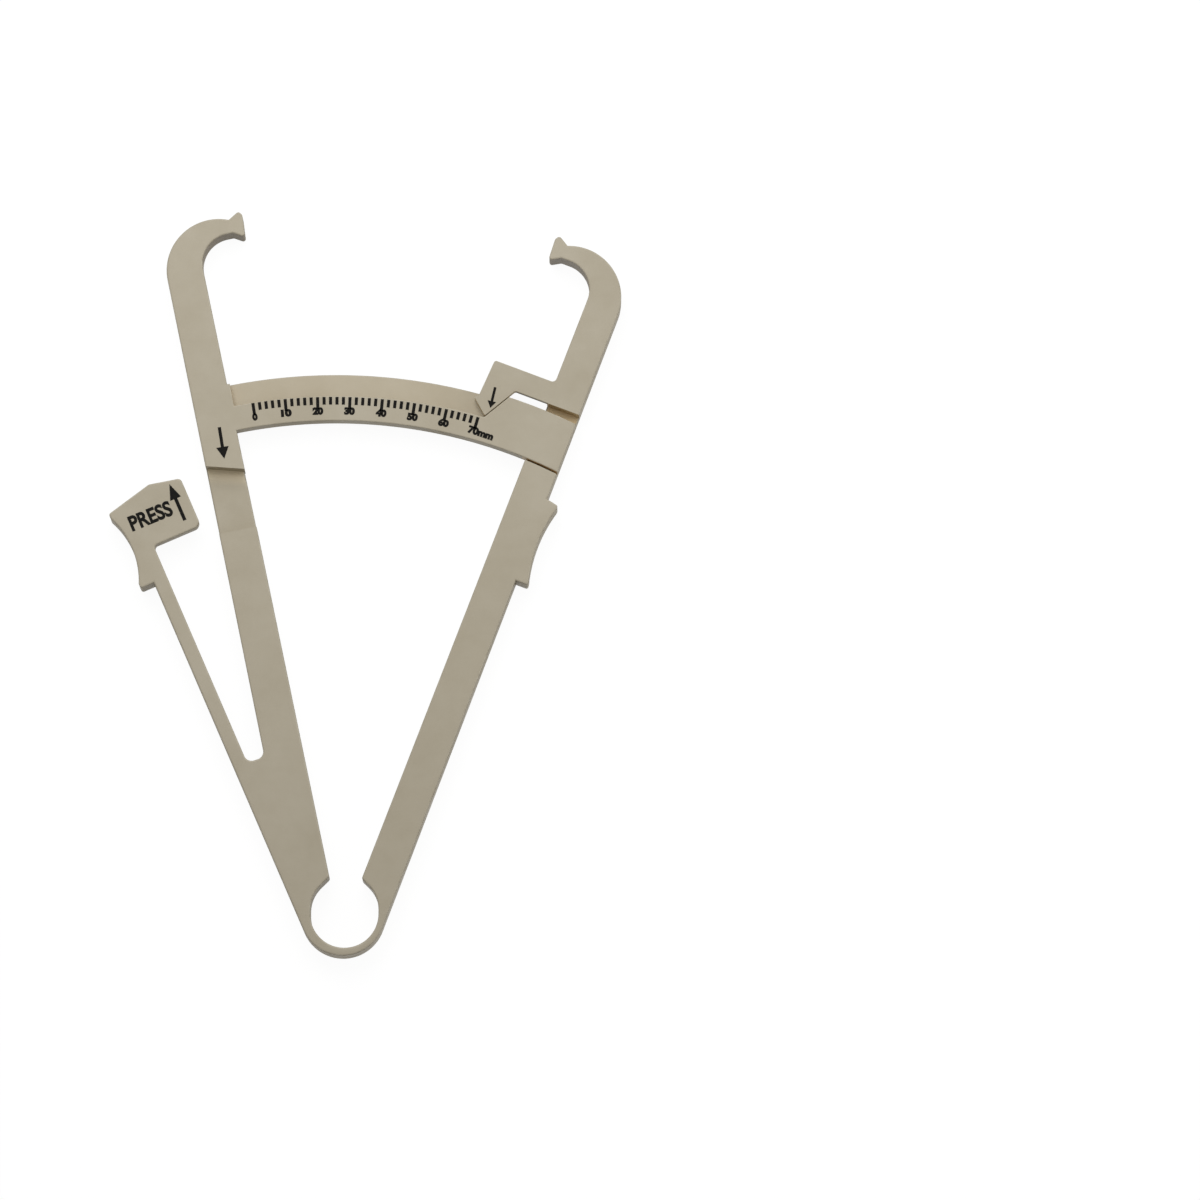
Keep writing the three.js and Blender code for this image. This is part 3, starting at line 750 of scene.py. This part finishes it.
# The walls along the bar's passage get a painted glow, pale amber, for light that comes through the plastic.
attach(warmed(dressed(right_arm, "moving_arm_lower"), lambda point, height, normal: (
    abs(normal.z) < WALL_TILT and point.length > CHANNEL_FLOOR - LEEWAY)), "moving_arm")
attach(dressed(finger_hold, "finger_rest"), "moving_arm")
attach(warmed(dressed(right_arm_top, "moving_arm_upper"),
               wall_beside(on_right(CHANNEL_TOP, 0), on_right(CHANNEL_TOP, FAR))), "moving_arm")
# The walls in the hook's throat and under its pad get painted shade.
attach(warmed(dressed(right_hook, "moving_jaw"), wall_facing(RIGHT_ANGLE), shade_painted_ivory), "moving_arm")
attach(warmed(dressed(right_pad, "moving_jaw_pad"), wall_facing(RIGHT_ANGLE), shade_painted_ivory), "moving_arm")

# The floor of the passage that the scale bar slides through as the jaws close.
# It is moulded with the right arm, which goes on behind the bar about a third as thick.

PASSAGE_TOP = 2.7
PASSAGE_HEAD_SPREAD = 0.1
PASSAGE_FOOT_SPREAD = 0.18

bar_passage = solid("bar_passage", outline([
    (on_right(CHANNEL_FLOOR - NEXT_TO_STEP, 0), 0),
    (on_right(CHANNEL_TOP + NEXT_TO_STEP, 0), 0),
    (on_right(CHANNEL_TOP + NEXT_TO_STEP, RIGHT_WIDTH_AT_JAW + PASSAGE_HEAD_SPREAD), 0),
    (on_right(CHANNEL_FLOOR - NEXT_TO_STEP, RIGHT_WIDTH_AT_JAW + PASSAGE_FOOT_SPREAD), 0),
]), 0, PASSAGE_TOP)
cut(bar_passage, channel, "INTERSECT")
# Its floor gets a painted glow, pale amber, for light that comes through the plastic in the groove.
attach(warmed(dressed(bar_passage, "bar_guide"), facing_up), "moving_arm")

# The ring at the foot is the spring that holds the arms open: a thin band round the lower half of the hole.
# It is moulded with both arms, at the full thickness, and bends as the jaws close.

RING_SECTIONS = 72
TURN_LEEWAY = 0.001


def ring_wall(degrees):
    """The band's inner and outer wall in one direction from the middle of the hole."""
    inner = polar(HOLE_RADIUS, degrees, HOLE_CENTRE)
    way = polar(1, degrees)
    shift = HOLE_CENTRE - RING_CENTRE
    reach = -shift.dot(way) + math.sqrt(shift.dot(way) ** 2 - shift.length_squared + RING_RADIUS ** 2)
    outer = HOLE_CENTRE + way * reach
    around = math.degrees(math.atan2((outer - RING_CENTRE).x, (outer - RING_CENTRE).y)) % 360
    if around > 270 + LEVER_ANGLE - TURN_LEEWAY:
        outer = crossing(HOLE_CENTRE, outer, on_lever(0, LEVER_OUTER), on_lever(FAR, LEVER_OUTER))
    if around < 90 + RIGHT_ANGLE + TURN_LEEWAY:
        outer = crossing(HOLE_CENTRE, outer, on_right(0, 0), on_right(FAR, 0))
    return inner, outer


ring = swept("ring", [ring_wall(270 - 180 * i / RING_SECTIONS) for i in range(RING_SECTIONS + 1)])
dressed(ring, "ring_spring")
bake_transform(ring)

# The scale bar is moulded with the left arm and slides over the right one. Its lower band carries the print.
# The upper band is a step lower, as a track for the pointer, and ends against a raised block.

BAR_BOTTOM = 3.0
TRACK_FLOOR = 5.2
BAR_INNER = 114.15
TRACK_INNER = 119.9
BAR_OUTER = 125.2
END_OUTER = 126.1
TRACK_START = -11.3
LAP = 1.2
BAR_EDGE = 0.3
STOP_FOOT_ROUND = 0.35
STOP_HEAD_ROUND = 0.4
UNDER_STOP = 1.0

TIP_SHORT = 20.35
TIP_CLEAR = 0.35
SHOULDER = 15.8
STOP_GAP = 0.15

tip_station = math.sqrt((TRACK_INNER + TIP_CLEAR) ** 2 - (RIGHT_OUTER - TIP_SHORT) ** 2)
pointer_tip = on_right(tip_station, TIP_SHORT)
pointer_shoulder = on_right(CHANNEL_TOP, SHOULDER)
flank = (pointer_shoulder - pointer_tip).normalized()
stop_shift = Vector((flank.y, -flank.x)) * STOP_GAP


def leaves_circle(start, way, radius):
    """Where a ray leaves the circle of this radius round the pivot."""
    middle = start - way * start.dot(way)
    return middle + way * math.sqrt(radius * radius - middle.length_squared)


def direction_of(point):
    return math.degrees(math.atan2(point.x, point.y))


def stop_at(radius):
    return leaves_circle(pointer_tip + stop_shift, flank, radius)


def bar_end_at(radius):
    return leaves_circle(on_right(0, 0), polar(1, RIGHT_ANGLE), radius)


bar_root = direction_of(on_left(BAR_OUTER, LEFT_WIDTH_AT_JAW - LAP))
raised = solid("raised", outline([
    *arc(ORIGIN, BAR_INNER, direction_of(bar_end_at(BAR_INNER)), bar_root, SCALE_STEP),
    (polar(BAR_OUTER, bar_root), 0),
    (polar(BAR_OUTER, TRACK_START), 0),
    (polar(TRACK_INNER, TRACK_START), 0),
    *arc(ORIGIN, TRACK_INNER, TRACK_START, direction_of(stop_at(TRACK_INNER)), SCALE_STEP)[1:-1],
    (stop_at(TRACK_INNER), STOP_FOOT_ROUND),
    (stop_at(END_OUTER), STOP_HEAD_ROUND),
    *arc(ORIGIN, END_OUTER, direction_of(stop_at(END_OUTER)), direction_of(bar_end_at(END_OUTER)),
         SCALE_STEP)[1:],
]), BAR_BOTTOM, THICKNESS, BAR_EDGE)
lower = solid("lower", outline([
    *arc(ORIGIN, BAR_INNER + LAP, direction_of(stop_at(BAR_INNER + LAP)) + UNDER_STOP, bar_root, SCALE_STEP),
    *arc(ORIGIN, BAR_OUTER, bar_root, direction_of(stop_at(BAR_OUTER)) + UNDER_STOP, SCALE_STEP),
]), BAR_BOTTOM, TRACK_FLOOR, BAR_EDGE)
carved(raised, "UNION", lower)
bpy.data.objects.remove(lower)
carved(raised, "DIFFERENCE", left_whole)

# A cut that would lie in a wall runs this far in front of it, so that no skin of the wall stays behind.
SPLIT_OFF = 0.02
off_the_wall = Vector((-flank.y, flank.x)) * SPLIT_OFF
end_block, graded_bar = split(raised, "end_block", [
    stop_at(TRACK_INNER) + off_the_wall,
    stop_at(END_OUTER + THICKNESS) + off_the_wall,
    on_right(CHANNEL_TOP + FAR / 2, -FAR / 2),
    on_right(BAR_INNER - FAR / 2, -FAR / 2),
    stop_at(TRACK_INNER).normalized() * (BAR_INNER - FAR / 2),
])
renamed(graded_bar, "graded_bar")
# Painted light: a paler, yellower colour for the track's floor, standing in for light that comes through the
# thinner plastic.
thin_painted_light_ivory = plastic("abs_thin_painted_light", (0.428, 0.376, 0.278, 1))
dressed(graded_bar, "scale_bar")
# The wall at the start of the track gets a painted glow, and the track's floor gets painted light.
warmed(graded_bar, wall_beside(polar(TRACK_INNER, TRACK_START), polar(BAR_OUTER, TRACK_START)))
warmed(graded_bar, lambda point, height, normal: (
    normal.z > FLAT and height < TRACK_FLOOR + LEEWAY), thin_painted_light_ivory)
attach(graded_bar, "fixed_arm")
dressed(end_block, "scale_end_stop")
# The walls beside the pointer's tip get a painted glow, pale amber, in the narrow gap.
warmed(end_block, lambda point, height, normal: (
    abs(normal.z) < WALL_TILT and point.length < BAR_INNER + LEEWAY
    and point.dot(polar(1, RIGHT_ANGLE + 90)) > RIGHT_OUTER - RIGHT_WIDTH_AT_RING))
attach(end_block, "fixed_arm")

# The pointer reads the scale. It slides in the bar's track as the jaws close, and stops against the block.
# It is moulded with the bracket, a thin plate at the front that reaches from the right arm over the bar.

BRACKET_TOP = 132.9
BRACKET_REACH = 22.75
BRACKET_LEAN = 0.55
BRACKET_ROUND = 0.6
CHEEK_REACH = 24.1
CHEEK_RISE = 3.2
CHEEK_ROUND = 0.8
TIP_ROUND = 0.3
SHOULDER_ROUND = 0.7
POINTER_BOTTOM = 5.5
ROOT_ROUND = 1.0
POINTER_EDGE = 0.16
HOLLOW_STEPS = 8


def hollow(on_member, station, across, radius):
    """The hollow round by which a front part leaves the plate's edge, from within the plate outwards."""
    beside_it = math.copysign(EDGE_ROUND, radius)
    run = [(on_member(station + radius + beside_it, across - LAP), 0),
           (on_member(station + radius + beside_it, across - SPLIT_OFF), 0)]
    for i in range(HOLLOW_STEPS + 1):
        turn = math.radians(90 * i / HOLLOW_STEPS)
        run.append((on_member(station + radius * (1 - math.sin(turn)),
                              across + abs(radius) * (1 - math.cos(turn))), 0))
    return run


width_at_bracket = RIGHT_WIDTH_AT_JAW + (RIGHT_WIDTH_AT_RING - RIGHT_WIDTH_AT_JAW) * (
    (RIGHT_REACH - BRACKET_TOP) / RIGHT_REACH)
pointer = solid("pointer", outline([
    (on_right(CHANNEL_TOP, RIGHT_WIDTH_AT_JAW - LAP), 0),
    *hollow(on_right, BRACKET_TOP, width_at_bracket, ROOT_ROUND),
    (on_right(BRACKET_TOP, BRACKET_REACH), BRACKET_ROUND),
    (on_right(tip_station + CHEEK_RISE + CHEEK_ROUND, BRACKET_REACH + BRACKET_LEAN), CHEEK_ROUND),
    (on_right(tip_station + CHEEK_RISE, CHEEK_REACH), TIP_ROUND),
    (pointer_tip, TIP_ROUND),
    (pointer_shoulder, SHOULDER_ROUND),
]), POINTER_BOTTOM, THICKNESS, POINTER_EDGE)
carved(pointer, "DIFFERENCE", right_whole)
bracket, pointer_foot = split(pointer, "bracket", beyond(RIGHT_ANGLE, CHANNEL_TOP - SPLIT_OFF))
renamed(pointer_foot, "pointer_foot")
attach(dressed(bracket, "pointer_bracket"), "moving_arm")
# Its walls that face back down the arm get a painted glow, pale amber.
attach(warmed(dressed(pointer_foot, "pointer_plate"), wall_facing(RIGHT_ANGLE)), "moving_arm")

# The press tab shows the pressure: it swings over the left arm's recess until its arrow meets the arm's.
# It is moulded with the thumb rest and stands out of it at the front, about half as thick.

TAB_BOTTOM = 3.6
TAB_FOOT = 94.6
TAB_REACH = 11.8
SHOULDER_DROP = 1.6
TAB_ROOT_ROUND = 0.9
TAB_ROOT_TURN = 18.0
TAB_FOOT_ROUND = 1.6
TAB_HEAD_ROUND = 1.0
TAB_PEAK_ROUND = 1.2


def on_tab(station, across):
    return on_lever(station, LEVER_INNER + across)


tab = solid("tab", outline([
    (rest_corner, 0),
    (rest_corner + polar(LAP, direction_of(horn_top - tab_peak) - TAB_ROOT_TURN), 0),
    (on_tab(THUMB_TOP, -LAP), 0),
    *hollow(on_tab, TAB_FOOT, 0, -TAB_ROOT_ROUND),
    (on_tab(TAB_FOOT, TAB_REACH), TAB_FOOT_ROUND),
    (on_tab(THUMB_TOP + HIP_RISE - SHOULDER_DROP, TAB_REACH), TAB_HEAD_ROUND),
    (tab_peak, TAB_PEAK_ROUND),
]), TAB_BOTTOM, THICKNESS)
carved(tab, "DIFFERENCE", left_whole)
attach(dressed(tab, "press_tab"), "press_lever")
bpy.data.objects.remove(left_whole)
bpy.data.objects.remove(right_whole)

# The print: black pad-printing ink, a few hundredths of a millimetre thick, in plain sans lettering.
# Scale marks every 2 mm with longer ones every 10 mm, their numbers, three arrows and the word on the tab.

INK_THICKNESS = 0.03
SCALE_CENTRE = Vector((-0.6, 0.0))
TICK_TOP = 119.66
TICK_WIDTH = 0.72
LONG_TICK = 2.8
SHORT_TICK = 1.8
LAST_READING = 70
ZERO_ANGLE = -8.93
DEGREES_PER_MM = 0.3586
NUMBER_RADIUS = 116.4
DIGIT_WIDTH = 1.25
UNIT_RADIUS = 116.3
UNIT_TURN = 0.8


def ink_material():
    """Black printing ink, slightly uneven in tone and gloss."""
    made = bpy.data.materials.new("printing_ink")
    made.use_nodes = True
    nodes, link = made.node_tree.nodes, made.node_tree.links.new
    shader = nodes["Principled BSDF"]
    place = nodes.new("ShaderNodeTexCoord")
    noise = nodes.new("ShaderNodeTexNoise")
    noise.inputs["Scale"].default_value = 1400
    noise.inputs["Detail"].default_value = 3
    link(place.outputs["Object"], noise.inputs["Vector"])
    ramp = nodes.new("ShaderNodeValToRGB")
    ramp.color_ramp.elements[0].position = 0.35
    ramp.color_ramp.elements[0].color = (0.0015, 0.0014, 0.0012, 1)
    ramp.color_ramp.elements[1].position = 0.75
    ramp.color_ramp.elements[1].color = (0.008, 0.007, 0.005, 1)
    link(noise.outputs["Fac"], ramp.inputs["Fac"])
    link(ramp.outputs["Color"], shader.inputs["Base Color"])
    shader.inputs["Specular IOR Level"].default_value = 0.06
    rough = nodes.new("ShaderNodeMapRange")
    rough.inputs["To Min"].default_value = 0.40
    rough.inputs["To Max"].default_value = 0.60
    link(noise.outputs["Fac"], rough.inputs["Value"])
    link(rough.outputs["Result"], shader.inputs["Roughness"])
    return made


ink = ink_material()


def printed(name, body, shapes):
    """Ink shapes, each a list of plan polygons with their faces, as one thin piece on the front face."""
    mesh = bmesh.new()
    for points, faces in shapes:
        low = [mesh.verts.new(in_frame(p, THICKNESS)) for p in points]
        high = [mesh.verts.new(in_frame(p, THICKNESS + INK_THICKNESS)) for p in points]
        rim = {}
        for face in faces:
            mesh.faces.new([high[i] for i in face])
            mesh.faces.new([low[i] for i in reversed(face)])
            for a, b in zip(face, face[1:] + face[:1]):
                if (b, a) in rim:
                    del rim[(b, a)]
                else:
                    rim[(a, b)] = True
        for a, b in rim:
            mesh.faces.new((low[a], low[b], high[b], high[a]))
    made = linked(name, mesh)
    made.data.materials.append(ink)
    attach(made, body)
    return made


def polygon(*points):
    """One shape with its points the anticlockwise way round."""
    area = sum(a.cross(b) for a, b in zip(points, points[1:] + points[:1]))
    points = list(points) if area > 0 else list(points)[::-1]
    return points, [list(range(len(points)))]


def bar_shape(start, end, width):
    """A straight mark between two points."""
    side = (end - start).normalized() * (width / 2)
    side = Vector((-side.y, side.x))
    return polygon(start - side, end - side, end + side, start + side)


def arrow(tail, tip, head_width, head_length, shaft_width):
    """An arrow with a plain shaft and a triangular head."""
    way = (tip - tail).normalized()
    side = Vector((-way.y, way.x))
    neck = tip - way * head_length
    return polygon(
        tail - side * shaft_width / 2, neck - side * shaft_width / 2, neck - side * head_width / 2, tip,
        neck + side * head_width / 2, neck + side * shaft_width / 2, tail + side * shaft_width / 2)


def lettering(words, centre, turn, width, height, weight):
    """Filled letters with their middle at centre, turned clockwise, and fitted to a width and height."""
    curve = bpy.data.curves.new("letters", "FONT")
    curve.body = words
    curve.offset = weight
    curve.resolution_u = 4
    holder = bpy.data.objects.new("letters", curve)
    bpy.context.scene.collection.objects.link(holder)
    flat = bpy.data.meshes.new_from_object(holder.evaluated_get(bpy.context.evaluated_depsgraph_get()))
    mesh = bmesh.new()
    mesh.from_mesh(flat)
    bmesh.ops.remove_doubles(mesh, verts=mesh.verts, dist=1e-5)
    bmesh.ops.recalc_face_normals(mesh, faces=mesh.faces)
    mesh.verts.index_update()
    low = Vector((min(v.co.x for v in mesh.verts), min(v.co.y for v in mesh.verts)))
    high = Vector((max(v.co.x for v in mesh.verts), max(v.co.y for v in mesh.verts)))
    right, up = polar(1, turn + 90), polar(1, turn)
    points = [centre + right * ((v.co.x - low.x) / (high.x - low.x) - 0.5) * width
              + up * ((v.co.y - low.y) / (high.y - low.y) - 0.5) * height for v in mesh.verts]
    faces = [[v.index for v in f.verts] if f.normal.z > 0 else [v.index for v in reversed(f.verts)]
             for f in mesh.faces]
    mesh.free()
    bpy.data.objects.remove(holder)
    bpy.data.curves.remove(curve)
    bpy.data.meshes.remove(flat)
    return points, faces


def angle_of(reading):
    return ZERO_ANGLE + DEGREES_PER_MM * reading


def on_scale(radius, degrees):
    return polar(radius, degrees, SCALE_CENTRE)


marks = []
for reading in range(0, LAST_READING + 1, 2):
    at = angle_of(reading)
    length = LONG_TICK if reading % 10 == 0 else SHORT_TICK
    marks.append(bar_shape(on_scale(TICK_TOP, at), on_scale(TICK_TOP - length, at), TICK_WIDTH))
for reading in range(0, LAST_READING, 10):
    at = angle_of(reading)
    digits = str(reading)
    marks.append(lettering(digits, on_scale(NUMBER_RADIUS, at), turn=at, width=DIGIT_WIDTH * len(digits),
                           height=1.8, weight=0.08))
marks.append(lettering(f"{LAST_READING}mm", on_scale(UNIT_RADIUS, angle_of(LAST_READING) + UNIT_TURN),
                       turn=19, width=6.1, height=1.9, weight=0.07))
printed("scale_print", "fixed_arm", marks)
printed("left_arrow", "fixed_arm", [
    arrow(Vector((-26.86, 112.58)), Vector((-25.66, 105.21)), head_width=2.9, head_length=2.8,
          shaft_width=0.75),
])
printed("pointer_arrow", "moving_arm", [
    arrow(Vector((36.67, 121.91)), Vector((35.53, 117.10)), head_width=2.0, head_length=1.6, shaft_width=0.6),
])
printed("tab_print", "press_lever", [
    lettering("PRESS", Vector((-42.55, 91.9)), turn=-22.7, width=10.3, height=3.75, weight=0.035),
    arrow(Vector((-34.63, 90.90)), Vector((-38.27, 99.32)), head_width=2.7, head_length=3.7, shaft_width=0.8),
])

# The white table that the caliper lies on, two soft lights, a white surround and the camera.
# The table shows white to the camera and keeps the caliper's faint shadow.

TABLE_SIZE = 3.0
TABLE_DROP = 0.05
bpy.ops.mesh.primitive_plane_add(size=TABLE_SIZE, location=(0, 0, -TABLE_DROP * MM))
table = bpy.context.object
table.name = "table"


def seen_or_mirrored(nodes, link):
    """1 for rays from the camera and for those that gloss or glass sends on, and 0 for the rest."""
    path = nodes.new("ShaderNodeLightPath")
    total = path.outputs["Is Camera Ray"]
    for ray in ("Is Glossy Ray", "Is Transmission Ray"):
        either = nodes.new("ShaderNodeMath")
        either.operation = "MAXIMUM"
        link(total, either.inputs[0])
        link(path.outputs[ray], either.inputs[1])
        total = either.outputs[0]
    return total


white_table = bpy.data.materials.new("white_table")
white_table.use_nodes = True
nodes, link = white_table.node_tree.nodes, white_table.node_tree.links.new
nodes.remove(nodes["Principled BSDF"])
plain = nodes.new("ShaderNodeBsdfDiffuse")
plain.inputs["Color"].default_value = (0.35, 0.35, 0.35, 1)
shadowed = nodes.new("ShaderNodeBsdfDiffuse")
shadowed.inputs["Color"].default_value = (0.08, 0.08, 0.08, 1)
glow = nodes.new("ShaderNodeEmission")
glow.inputs["Strength"].default_value = 0.945
bright = nodes.new("ShaderNodeAddShader")
link(shadowed.outputs[0], bright.inputs[0])
link(glow.outputs[0], bright.inputs[1])
choice = nodes.new("ShaderNodeMixShader")
link(seen_or_mirrored(nodes, link), choice.inputs[0])
link(plain.outputs[0], choice.inputs[1])
link(bright.outputs[0], choice.inputs[2])
link(choice.outputs[0], nodes["Material Output"].inputs["Surface"])
table.data.materials.append(white_table)

world = bpy.data.worlds.new("studio")
bpy.context.scene.world = world
world.use_nodes = True
nodes, link = world.node_tree.nodes, world.node_tree.links.new
sky = nodes["Background"]
sky.inputs["Color"].default_value = (1.0, 0.98, 0.95, 1)
sky.inputs["Strength"].default_value = 0.36
backdrop = nodes.new("ShaderNodeBackground")
backdrop.inputs["Color"].default_value = (1, 1, 1, 1)
choice = nodes.new("ShaderNodeMixShader")
link(seen_or_mirrored(nodes, link), choice.inputs[0])
link(sky.outputs[0], choice.inputs[1])
link(backdrop.outputs[0], choice.inputs[2])
link(choice.outputs[0], nodes["World Output"].inputs["Surface"])


def softbox(name, place, size, power):
    """A square soft light that looks at the origin."""
    lamp = bpy.data.lights.new(name, "AREA")
    lamp.shape = "SQUARE"
    lamp.size = size
    lamp.energy = power
    made = bpy.data.objects.new(name, lamp)
    bpy.context.scene.collection.objects.link(made)
    made.location = place
    made.rotation_euler = (-Vector(place)).to_track_quat("-Z", "Y").to_euler()


softbox("key", (-0.05, 0.23, 0.40), size=0.36, power=1.5)
softbox("fill", (0.55, 0.10, 0.20), size=0.35, power=0.8)

VIEW_MIDDLE = Vector((53.97, -4.35, 7.5)) * MM
VIEW_FROM = VIEW_MIDDLE + Vector((0, -287.3, 1969.2)) * MM
VIEW_ANGLE = math.radians(7.92)
view = bpy.data.cameras.new("view")
view.angle = VIEW_ANGLE
view.clip_end = 10
camera = bpy.data.objects.new("view", view)
bpy.context.scene.collection.objects.link(camera)
camera.location = VIEW_FROM
camera.rotation_euler = (VIEW_MIDDLE - VIEW_FROM).to_track_quat("-Z", "Y").to_euler()
bpy.context.scene.camera = camera
bpy.context.scene.view_settings.view_transform = "Standard"
